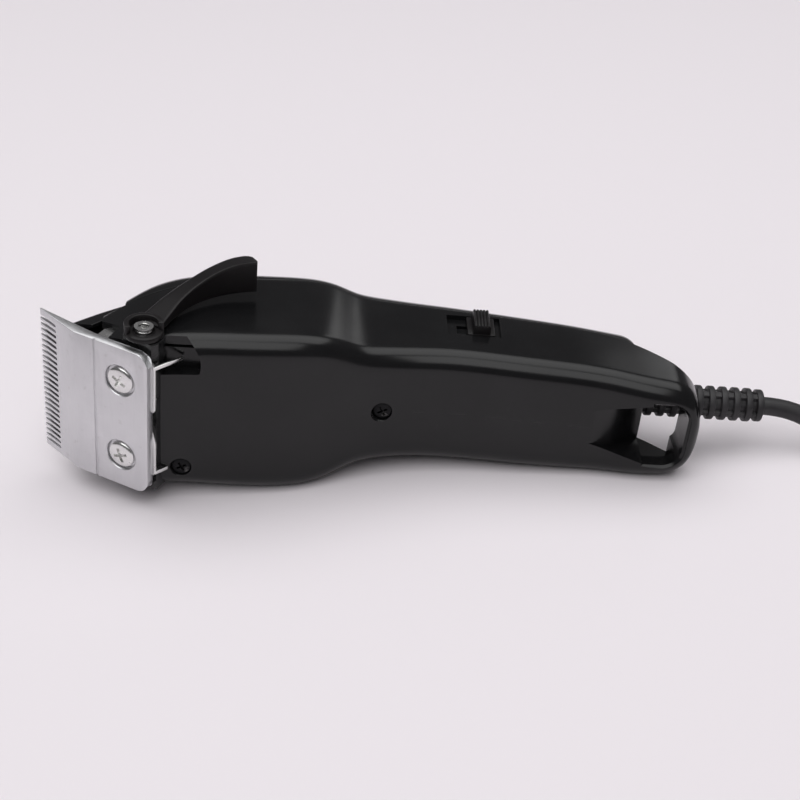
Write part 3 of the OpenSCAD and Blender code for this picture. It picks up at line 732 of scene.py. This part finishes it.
def section(side_half, low, high, r_low, r_high):
    """Half outline across the body, from the bottom's middle up to the top's middle, as (z, y)."""
    r_low = min(r_low, 0.7 * side_half)
    r_high = min(r_high, 0.7 * side_half)
    line = [(side_half * t / 20, low) for t in range(18)]
    line = [p for p in line if p[0] < side_half - r_low - 0.1]
    line += arc((side_half - r_low, low + r_low), r_low, -90, 0, 16)
    line += [(side_half, low + r_low + (high - r_high - low - r_low) * t / 12) for t in range(1, 12)]
    line += arc((side_half - r_high, high - r_high), r_high, 0, 90, 18)
    line += [((side_half - r_high) * (1 - t / 8), high) for t in range(1, 9)]
    return [crowned(p, side_half, low, high) for p in line]


def crowned(p, side_half, low, high):
    """Flat faces swell a little, so light slides over them softly."""
    across, up = p[0] / side_half, (p[1] - low) / (high - low)
    y = p[1] + across**2 * (CROWN_BOTTOM * (1 - up) - CROWN_TOP * up)
    return (p[0] - CROWN_SIDE * (2 * up - 1) ** 2, y)


def split_at(line, level):
    """The parts of a half outline below and above a level, on its way up the side."""
    for k in range(1, len(line)):
        if line[k][1] >= level:
            (z0, y0), (z1, y1) = line[k - 1], line[k]
            t = (level - y0) / max(y1 - y0, 1e-9)
            crossing = (z0 + (z1 - z0) * t, level)
            return line[:k] + [crossing], [crossing] + line[k:]
    return line, [line[-1], line[-1]]


def mirrored(half, x):
    """A closed ring from a half outline that starts and ends on the middle plane."""
    right = [(x, y, z) for z, y in half]
    left = [(x, y, -z) for z, y in half[-2:0:-1]]
    return right + left


def body_half(x):
    end = end_inset(x, TAIL_END, 3.2)
    low = curve(BOTTOM_CURVE, x) + end
    high = max(curve(TOP_CURVE, min(x, BODY_END)), low + 22)
    return section(half_width(x) - 0.3 * end, low, high, BOTTOM_ROUND, TOP_ROUND)


def rim_level(x):
    """Height of the housing's upper edge: the parting line, and then the sloping cheeks of the tail."""
    if x < GUSSET_X:
        return curve(PARTING_CURVE, x)
    return curve(GUSSET_CURVE, x) - end_inset(x, TAIL_END, 2)


def tub_ring(x):
    below, _ = split_at(body_half(x), rim_level(x) - SEAM_ROUND)
    z, y = below[-1]
    below = resample(below, 72)
    lip = arc((z - SEAM_ROUND, y), SEAM_ROUND, 0, 90, 3)[1:]
    top = [(lip[-1][0] * t, lip[-1][1]) for t in (0.85, 0.6, 0.3, 0)]
    return mirrored(below + lip + top, x)


def nose_level(x):
    return NOSE_HIGH - NOSE_SLOPE * (NOSE_STEP - x)


def cover_half(x):
    """The cover's half outline; in front of the step it is a little narrower and much lower."""
    low = curve(BOTTOM_CURVE, x)
    if x < NOSE_STEP:
        return section(half_width(x) - NOSE_INSET, low, nose_level(x), BOTTOM_ROUND, NOSE_ROUND)
    end = end_inset(x, BODY_END, 4)
    high = curve(TOP_CURVE, x) - end
    return section(half_width(x) - 0.12 * end, low, high, BOTTOM_ROUND, TOP_ROUND)


def cover_ring(x):
    floor_level = rim_level(x) + PART_GAP + SEAM_ROUND
    _, above = split_at(cover_half(x), floor_level)
    z, y = above[0]
    above = resample(above, 72)
    lip = arc((z - SEAM_ROUND, y), SEAM_ROUND, -90, 0, 3)[:-1]
    base = [(lip[0][0] * t, lip[0][1]) for t in (0, 0.3, 0.6, 0.85)]
    return mirrored(base + lip + above, x)


def cavity(name):
    """The space inside the body, for both shells."""
    rings = []
    for x in spaced(NOSE_X - 4, CAVITY_END, 4):
        at = max(x, NOSE_X)
        half = half_width(at) - WALL
        low = max(curve(BOTTOM_CURVE, at) + WALL, 16.6 - (CAVITY_END - at) * 1.1)
        top = nose_level(at) if at < NOSE_STEP + 3 else curve(TOP_CURVE, at)
        line = section(half, low, top - WALL, 3.4, TOP_ROUND - WALL)
        rings.append(mirrored(resample(line, 40), x))
    return loft(name, rings)


def blade_space():
    """Room for the blade set: behind its seat and in front of the body's slanted end."""
    back, front = -FOOT_L - 0.6, -2.5
    outline = [(back, SEAT_LEVEL), (front, SEAT_LEVEL), (front, -9), (6, -10.5), (24, -10.5)]
    outline += [(60, 30), (back, 30)]
    return place(prism("blade_space", outline, -60, 60), ON_BLADE)


def upright(name, outline, low, high):
    """A plan outline in x and z, run along y."""
    return loft(name, [[(x, y, z) for x, z in outline] for y in (low, high)])


def flared(name, outline_of, low, high, lip):
    """A hole along y whose lower edge, at low, opens outwards over a rounded lip."""
    levels = [(low - 3, lip), (low, lip)]
    levels += [(low + lip * math.sin(a), lip * (1 - math.sin(a))) for a in (0.35, 0.7, 1.05, math.pi / 2)]
    levels.append((high, 0))
    return loft(name, [[(x, y, z) for x, z in outline_of(grow)] for y, grow in levels])


def window_outline(grow):
    x0, x1 = WINDOW_X[0] - grow, WINDOW_X[1] + grow
    half, r = WINDOW_HALF + grow, WINDOW_ROUND + grow
    line = arc((x1 - r, half - r), r, 0, 90, 10)
    line += [(x0, half), (x0, -half)]
    return line + arc((x1 - r, r - half), r, -90, 0, 10)


def scoop():
    """Ramp from the flat of the tail down into the window, with chamfered sides."""
    (x0, half0), (x1, half1) = SCOOP_START, SCOOP_END
    rings = []
    for t in [k / 14 for k in range(15)]:
        x = x0 + (x1 - x0) * t
        half = half0 + (half1 - half0) * t
        mouth = curve(BOTTOM_CURVE, x) - 0.4
        depth = mouth + SCOOP_DEPTH * t**1.5
        chamfer = min(mouth + 0.5 * t**0.5, depth - 0.001)
        side = [(mouth - 4, half + 0.5), (mouth, half + 0.5), (chamfer, half), (depth, half)]
        rings.append([(x, y, z) for y, z in side] + [(x, y, -z) for y, z in side[::-1]])
    return loft("scoop", rings)


def pocket():
    """Pocket behind the blade plate's upper tab, with a round rear wall."""
    rear_wall = arc((20.4, 17.2), 8.7, -16, 78, 14)
    outline = [(10, POCKET_LOW), (27.8, POCKET_LOW), *rear_wall, (19, 30), (10, 30)]
    return upright("pocket", outline, -9, POCKET_FLOOR)


def screw_recesses():
    """Round recesses with a slightly rounded mouth; the covered screw is under the pocket's floor."""
    holes = []
    for x, z, level in OPEN_SCREWS:
        mouth = curve(BOTTOM_CURVE, x)
        lip = [(3.3, mouth - 4), (3.3, mouth - 0.2), (3.05, mouth + 0.15), (2.85, mouth + 0.5)]
        hole = revolve("recess", [*lip, (2.85, level)], 40)
        holes.append(place(hole, Matrix.Translation((x, 0, z)) @ Matrix.Rotation(-math.pi / 2, 4, "X")))
    return holes


def switch_well():
    """Sunk panel for the switch, in both shells."""
    half = WAIST_W / 2
    return block("well", (SWITCH_X[0], SWITCH_Y[0], half - 1.6), (SWITCH_X[1], SWITCH_Y[1], half + 4))


def switch_slot():
    half = WAIST_W / 2
    return block("slot", (SWITCH_X[0] + 2.9, 24.4, half - 6), (SWITCH_X[1] - 3.2, 28.4, half))


def floor_cut():
    """What would reach below the surface that the clipper lies on."""
    ground = block("ground", (-300, -100, -100), (300, 100, -LIFT))
    return place(ground, Matrix.Rotation(math.radians(-TILT), 4, "Y"))


def shell_stations(end, end_round):
    """Places of the rings along a shell, closer together at its rounded end."""
    inside = spaced(NOSE_X, end - end_round, 1.6)
    return inside + [x for x in eased(end - 0.02, end_round, 10) if x > inside[-1] + 0.05]


def tail_spaces():
    """The open tail between the cheeks, the room round the strain relief, and the window itself."""
    cheek = TAIL_W / 2 - CHEEK_T
    open_tail = block("tail_space", (WINDOW_X[0], 8, -cheek), (WINDOW_X[1] - 1, 60, cheek))
    relief = block("relief_space", (BODY_END, RELIEF_Y - 5.5, -cheek), (WINDOW_X[0] + 1, 60, cheek))
    return open_tail, relief, flared("window", window_outline, curve(BOTTOM_CURVE, 160) + 0.2, 60, 0.7)


def blade_seat():
    """Block under the blade's foot, where its screws go in."""
    back, front = -FOOT_L - 0.4, -3
    outline = [
        (back, SEAT_LEVEL), (front, SEAT_LEVEL), (front, SEAT_LEVEL - 6.5), (-13, SEAT_LEVEL - 7.5),
        (back, SEAT_LEVEL - 4.4),
    ]
    return place(prism("seat", outline, -23.2, 17.6), ON_BLADE)


def hub_seat():
    """Round foot under the lever's hub, trimmed where the blade set needs the room."""
    r = HUB_R + 0.2
    foot = revolve("hub_seat", [(0, -7), (r, -7), (r, -0.6), (r - 0.3, -0.3), (0, -0.3)])
    return cut(place(foot, Matrix.Translation(LEVER)), blade_space())


def make_bottom_housing():
    tub = loft("housing_tub", [tub_ring(x) for x in shell_stations(TAIL_END, TAIL_ROUND)])
    cut(tub, cavity("tub_space"), blade_space())
    cut(tub, block("nose_cut", (-200, -100, -100), (TUB_FRONT, 100, 100)), *tail_spaces())
    lining = block("pocket_lining", (17, -1, 13), (28.6, POCKET_FLOOR + 1.5, 21))
    combine(tub, lining, "UNION")
    cut(tub, scoop(), pocket(), *screw_recesses(), switch_well(), switch_slot(), floor_cut())
    combine(tub, blade_seat(), "UNION")
    at_relief = Matrix.Translation((140, RELIEF_Y, 0)) @ Matrix.Rotation(math.pi / 2, 4, "Y")
    cut(tub, place(revolve("relief_hole", [(4.1, 0), (4.1, 24)]), at_relief))
    combine(tub, hub_seat(), "UNION")
    return finish_piece(tub, MATERIALS["gloss_black"], "housing", "gloss_black", "bottom_housing", angle=32)


def make_top_cover():
    stations = shell_stations(BODY_END, 4)
    stations = sorted(set(stations + [NOSE_STEP - 0.001, NOSE_STEP + 0.25, NOSE_STEP + 0.6]))
    stations = [x for x in stations if not NOSE_STEP - 0.6 < x < NOSE_STEP - 0.01]
    cover = loft("cover_shell", [cover_ring(x) for x in stations])
    cut(cover, cavity("cover_space"), blade_space(), floor_cut(), switch_well())
    return finish_piece(cover, MATERIALS["gloss_black"], "housing", "gloss_black", "top_cover", angle=32)


# ---------------------------------------------------------------- blade set
PLATE_BACK = -FOOT_L - 0.8
PLATE_EDGE = (ON_BLADE @ Vector((PLATE_BACK + 0.2, -FOOT_T - 0.4, 0))).xy


def phillips(radius, depth, width, top):
    """Cross recess cutters for a screw head whose top is at z = top."""
    tools = []
    for turn in (0, math.pi / 2):
        arm = block("cross", (-radius, -width / 2, top - depth), (radius, width / 2, top + 1))
        tools.append(place(arm, Matrix.Rotation(turn, 4, "Z")))
    return tools


def screw_head(name, radius, height, shank, length, dome, turn):
    """Domed Phillips screw along -z with its head's seat at z = 0."""
    rise = (0, 0.3, 0.6, 0.9, 1.2, 1.45)
    top = [(radius * math.cos(a), height - dome + dome * math.sin(a)) for a in rise]
    body = [(0, -length), (shank * 0.7, -length), (shank, -length + 0.4), (shank, 0), (radius, 0)]
    screw = revolve(name, [*body, *top, (0, height)], 48)
    cut(screw, *phillips(radius * 0.56, height * 0.7, radius * 0.23, height))
    return place(screw, Matrix.Rotation(turn, 4, "Z"))


def at_blade_screw(s, level=0.0):
    """Axis of a blade screw, on the side s of the blade's middle, with z pointing out of the blade."""
    place_at = Matrix.Translation((BLADE_SCREW_X, level, s * SCREW_PITCH / 2))
    return place_at @ Matrix.Rotation(-math.pi / 2, 4, "X")


def blade_outline():
    top = [(-FOOT_L, -0.35), (-FOOT_L + 0.1, -0.1), (-FOOT_L + 0.35, 0)]
    top += [(-FOOT_L + 0.35 + HEEL_R * k / 8, 0) for k in range(1, 9)]
    groove = [(-0.55, 0), (-0.4, -0.06), (-0.2, -0.36), (0, -0.42), (0.2, -0.36), (0.4, -0.06), (0.55, 0)]
    bend = [(LAND_L + 1.2 * t, -0.16 * t * t) for t in (-0.4, 0, 0.4, 0.8, 1.2)]
    tip = [(TIP_X - 0.3, TIP_Y + 0.1), (TIP_X, TIP_Y - 0.1), (TIP_X, TIP_Y - TIP_T)]
    under = [BEND, (-3, -FOOT_T)]
    under += [(-FOOT_L + HEEL_R * k / 8, -FOOT_T) for k in range(8, -1, -1)]
    return top + groove + bend + tip + under


def blade_half_width(x):
    """Half of the fixed blade's width, drawn in at the rounded heel and a little at the teeth."""
    reach = max(0, HEEL_R - (x + FOOT_L))
    heel = HEEL_R - math.sqrt(max(0, HEEL_R**2 - reach**2))
    return BLADE_W / 2 - heel


def make_fixed_blade():
    outline = blade_outline()
    rings = [[(x, y, s * blade_half_width(x)) for x, y in outline] for s in (-1, 1)]
    blade = loft("fixed_blade_plate", rings)
    round_edges(blade, 0.16, 2, 50)
    pitch = (BLADE_W - 3) / SLOT_COUNT
    slots = []
    for k in range(SLOT_COUNT):
        z = (k - (SLOT_COUNT - 1) / 2) * pitch
        root = TIP_X - SLOT_L + SLOT_HALF
        mouth = SLOT_HALF + 0.07
        outline = [(TIP_X + 2, z - mouth), (TIP_X + 2, z + mouth), *arc((root, z), SLOT_HALF, 90, 270, 6)]
        slots.append(upright("slot", outline, TIP_Y - 9, TIP_Y + 8))
    cut(blade, join(*slots))
    holes = []
    for s in (-1, 1):
        profile = [
            (1.8, -8), (1.8, -1.2), (RECESS_R - 0.15, -1.2), (RECESS_R, -1.05), (RECESS_R, -0.25),
            (RECESS_R + 0.3, 0.05), (RECESS_R + 0.3, 2),
        ]
        holes.append(place(revolve("recess", profile, 64), at_blade_screw(s)))
    cut(blade, join(*holes))
    place(blade, ON_BLADE)
    return finish_piece(blade, MATERIALS["blade_steel"], "housing", "blade_steel", "fixed_blade", angle=28)


def make_moving_blade():
    back, tip, gap, thick = 0.4, CUT_L - 1.7, 0.06, 1.8
    outline = [(back, -gap), (tip, -gap), (tip, -gap - 0.5), (tip - 6, -thick), (back, -thick)]
    blade = prism("cutter_comb", outline, -CUTTER_W / 2, CUTTER_W / 2)
    round_edges(blade, 0.12, 2, 40)
    pitch = 2
    count = int((CUTTER_W - 2) / pitch)
    gaps = []
    for k in range(count):
        z = (k - (count - 1) / 2) * pitch
        plan = [(tip - 4.5, z - 0.3), (tip + 4, z - 0.5), (tip + 4, z + 0.5), (tip - 4.5, z + 0.3)]
        gaps.append(upright("gap", plan, -5, 5))
    cut(blade, join(*gaps))
    place(blade, ON_CUT)
    # the comb gets the near-black steel, painted shade for the slots in front of it
    return finish_piece(blade, MATERIALS["cutter_steel_painted_shade"], "cutter", "blade_steel", "moving_blade", angle=28)


def make_blade_screws():
    screws = []
    for s, turn in ((-1, 0.35), (1, 1.1)):
        screw = screw_head("blade_screw", radius=4, height=1.7, shank=1.45, length=8, dome=0.75, turn=turn)
        screws.append(place(screw, at_blade_screw(s, -1.2)))
    pair = join(*screws)
    pair.name = "blade_screw_pair"
    place(pair, ON_BLADE)
    return finish_piece(pair, MATERIALS["bright_steel"], "housing", "bright_steel", "blade_screws")


def plate_tab(z_low, z_high, reach):
    """Tab that bends from the plate's rear edge into the body."""
    x0, y0 = PLATE_EDGE
    x1, y1 = x0 + reach, y0 + 0.86 * reach
    outline = [
        (x0 - 0.5, y0 - 0.35), (x0 + 0.15, y0 - 0.35), (x1, y1 - 0.3), (x1 - 0.4, y1 + 0.25),
        (x0 - 0.4, y0 + 0.5),
    ]
    return round_edges(prism("tab", outline, z_low, z_high), 0.15)


def make_blade_plate():
    """Thin plate between blade and body; its rear edge shows, with a notch, two tabs and an ear."""
    top, bottom = -FOOT_T, SEAT_LEVEL
    back, front, side = PLATE_BACK, PLATE_BACK + 14, 21.6
    notch = [(back, 4.7), (back + 0.4, 3.9), (back + 1.6, 3.4)]
    notch += [(back + 1.6, -1.2), (back + 1.2, -2.6), (back, -6.8)]
    rear = [(back + 4, side), (back + 0.6, 19.2), (back, 18.4), *notch, (back, -16.8), (back + 0.6, -17.6)]
    plan = [*rear, (back + 4, -side), (front, -side), (front, side)]
    plate = upright("blade_plate_sheet", plan, bottom, top)
    round_edges(plate, 0.18, 2, 50)
    holes = [place(revolve("hole", [(1.8, -9), (1.8, 2)], 32), at_blade_screw(s)) for s in (-1, 1)]
    cut(plate, *holes)
    place(plate, ON_BLADE)
    combine(plate, plate_tab(17.8, 18.9, 7), "UNION")
    combine(plate, plate_tab(-17.2, -16.1, 3.2), "UNION")
    ear = [(-5, top - 0.4), (1.9, top - 0.4), (1.9, -8), (-0.6, -11.4), (-3.2, -8.6), (-5, -6.6)]
    combine(plate, place(round_edges(prism("ear", ear, 20.6, 21.5), 0.15), ON_BLADE), "UNION")
    return finish_piece(plate, MATERIALS["bright_steel"], "housing", "bright_steel", "blade_plate")


def make_cover_screws():
    screws = []
    for x, z, level in (*OPEN_SCREWS, COVERED_SCREW):
        screw = screw_head("cover_screw", radius=2.7, height=1.2, shank=1.25, length=18, dome=0.4, turn=0.5)
        at = Matrix.Translation((x, level, z)) @ Matrix.Rotation(math.pi / 2, 4, "X")
        screws.append(place(screw, at))
    group = join(*screws)
    group.name = "cover_screw_group"
    return finish_piece(group, MATERIALS["black_steel"], "housing", "dark_steel", "cover_screws")


# ---------------------------------------------------------------- taper lever
LEVER_INNER = ((17.9, 1.2), (20, 6), (22.6, 11.2), (26.6, 16), (32, 19.6), (38, 21.6), (42.4, 22.2))
LEVER_OUTER = ((10.8, 5.6), (14, 10.6), (18.2, 15.8), (24.4, 21.2), (31, 25.4), (37.6, 27.8), (41.6, 27.6))
LEVER_TOP = (27.4, 28.8, 30.6, 32.6, 34.8, 36.6, 37.4)
LEVER_WALL = 2.0
LEVER_REACH = 36
LEVER_TIP_ROUND = 2.6
LEVER_RINGS = 40


def hub_collar():
    """Half ring that stands on the hub, on the side that faces away from the flat face."""
    outer = arc((0, 0), HUB_R, 5, 215, 28)
    inner = arc((0, 0), HUB_R - 1.5, 215, 5, 28)
    return round_edges(prism("collar", outer + inner, 0.4, HUB_T + 2.2), 0.3)


def make_taper_lever():
    """Hub with an arm that rises to the thumb paddle: an upright wall with a flange along its top."""
    inner_line = resample(smoothed(LEVER_INNER), LEVER_RINGS)
    outer_line = resample(smoothed(LEVER_OUTER), LEVER_RINGS)
    rings = []
    for k in range(LEVER_RINGS):
        t = k / (LEVER_RINGS - 1)
        top = curve(tuple(enumerate(LEVER_TOP)), t * (len(LEVER_TOP) - 1))
        inner, outer = Vector(inner_line[k]), Vector(outer_line[k])
        across = (outer - inner).normalized()
        width = (outer - inner).length - end_inset(t * LEVER_REACH, LEVER_REACH, LEVER_TIP_ROUND)
        low = LEVER[2] + 0.4 + 2.4 * t
        wall = LEVER_WALL + 1.2 * (1 - t) ** 2
        drop = 1.7 + 1.4 * (1 - t)
        spots = [
            (0.2, low), (0, low + 0.3), (0, low + 0.8), (0, top - 0.8), (0, top - 0.25), (0.1, top - 0.08),
            (0.4, top), (1.0, top - 0.1), (width - 1.4, top - 0.5), (width - 0.8, top - 0.6),
            (width - 0.25, top - 0.85), (width, top - 1.2), (width - 0.25, top - drop),
            (wall + 0.6, top - drop), (wall, top - drop - 0.5), (wall, low + 0.3), (wall - 0.25, low),
        ]
        rings.append([(*(inner + across * a), z) for a, z in spots])
    arm = loft("lever_arm", rings)
    hub_profile = [
        (0, 0), (HUB_R - 0.2, 0), (HUB_R, 0.25), (HUB_R, HUB_T - 0.7), (HUB_R - 0.25, HUB_T - 0.2),
        (HUB_R - 0.8, HUB_T), (3.1, HUB_T), (2.8, HUB_T - 0.25), (2.7, HUB_T - 0.7), (0, HUB_T - 0.7),
    ]
    hub = place(revolve("hub", hub_profile, 56), Matrix.Translation(LEVER))
    cut(arm, place(revolve("clear", [(2.8, HUB_T - 0.7), (2.8, 12)], 40), Matrix.Translation(LEVER)))
    combine(arm, hub, "UNION")
    combine(arm, place(hub_collar(), Matrix.Translation(LEVER)), "UNION")
    cut(arm, place(revolve("bore", [(1.5, -1), (1.5, 9)], 32), Matrix.Translation(LEVER)))
    arm.name = "taper_lever_arm"
    return finish_piece(arm, MATERIALS["satin_black"], "lever", "satin_black", "taper_lever", angle=40)


def smoothed(points):
    """The same line with its corners cut three times and its ends kept."""
    line = list(points)
    for _ in range(3):
        finer = [line[0]]
        for a, b in zip(line, line[1:]):
            finer += [tuple(p + (q - p) * t for p, q in zip(a, b)) for t in (0.25, 0.75)]
        line = finer + [line[-1]]
    return line


def make_lever_screw():
    seat = HUB_T - 0.6
    sizes = {"radius": 2.4, "height": 1.3, "shank": 1.4, "length": seat, "dome": 0.6}
    screw = screw_head("lever_pivot_screw", turn=0.6, **sizes)
    place(screw, Matrix.Translation((LEVER[0], LEVER[1], LEVER[2] + seat)))
    return finish_piece(screw, MATERIALS["bright_steel"], "lever", "bright_steel", "lever_screw")


# ---------------------------------------------------------------- switch and strain relief
def make_switch_knob():
    z = WAIST_W / 2
    base = round_edges(block("base", (KNOB_X - 4, 22, z - 1.5), (KNOB_X + 4, 31.5, z - 0.1)), 0.3)
    outline = [(KNOB_X - 2.6, z - 0.4), (KNOB_X + 2.6, z - 0.4), (KNOB_X + 2.3, z + 2.2)]
    for k in range(2, -3, -1):
        outline += arc((KNOB_X + k * 0.92, z + 2.35), 0.42, 0, 180, 6)
    outline.append((KNOB_X - 2.3, z + 2.2))
    grip = round_edges(upright("grip", outline, 22.2, 31.3), 0.2, 2, 60)
    combine(base, grip, "UNION")
    combine(base, block("stem", (KNOB_X - 2, 24.7, z - 4), (KNOB_X + 2, 28.1, z - 1.4)), "UNION")
    base.name = "switch_slider"
    return finish_piece(base, MATERIALS["satin_black"], "switch", "satin_black", "switch_knob")


def make_strain_relief():
    """Ringed sleeve: full rings on a core, with four webs between them."""
    start, tip = CAVITY_END - 3, RELIEF_END
    core = [(0, start), (5.6, start), (5.6, CAVITY_END - 0.1), (4, CAVITY_END - 0.1), (4, BODY_END + 0.2)]
    core += [(3.7, BODY_END + 0.2), (3.3, tip), (0, tip)]
    sleeve = revolve("relief_sleeve", core, 48)
    rings = []
    x = BODY_END + 1.4
    while x < tip - 2.4:
        rings.append((x, RIB_PITCH * 0.5, RELIEF_R))
        x += RIB_PITCH
    rings.append((tip - 1.9, 1.9, RELIEF_R - 0.2))
    for x, length, r in rings:
        edge = 0.3
        profile = [
            (2.9, x), (r - edge, x), (r - 0.08, x + 0.1), (r, x + edge), (r, x + length - edge),
            (r - 0.08, x + length - 0.1), (r - edge, x + length), (2.9, x + length),
        ]
        combine(sleeve, revolve("ring", profile, 48), "UNION")
    for turn in (20, 110, 200, 290):
        web = round_edges(block("web", (2.6, -0.9, BODY_END + 1), (RELIEF_R - 0.6, 0.9, tip - 1)), 0.2)
        combine(sleeve, place(web, Matrix.Rotation(math.radians(turn), 4, "Z")), "UNION")
    place(sleeve, Matrix.Translation((0, RELIEF_Y, 0)) @ Matrix.Rotation(math.pi / 2, 4, "Y"))
    return finish_piece(sleeve, MATERIALS["black_rubber"], "housing", "black_rubber", "strain_relief")


make_bottom_housing()
make_top_cover()
make_fixed_blade()
make_moving_blade()
make_blade_plate()
make_blade_screws()
make_cover_screws()
make_taper_lever()
make_lever_screw()
make_switch_knob()
make_strain_relief()

# ---------------------------------------------------------------- carried-over CAD nodes
SLOT_OF = {p["node"]: p["material_slot"] for p in frame["record"]["subparts"]}
for node, obj in frame["nodes"].items():
    obj.data.materials.clear()
    obj.data.materials.append(MATERIALS[SLOT_OF[node]])
    smooth(obj)
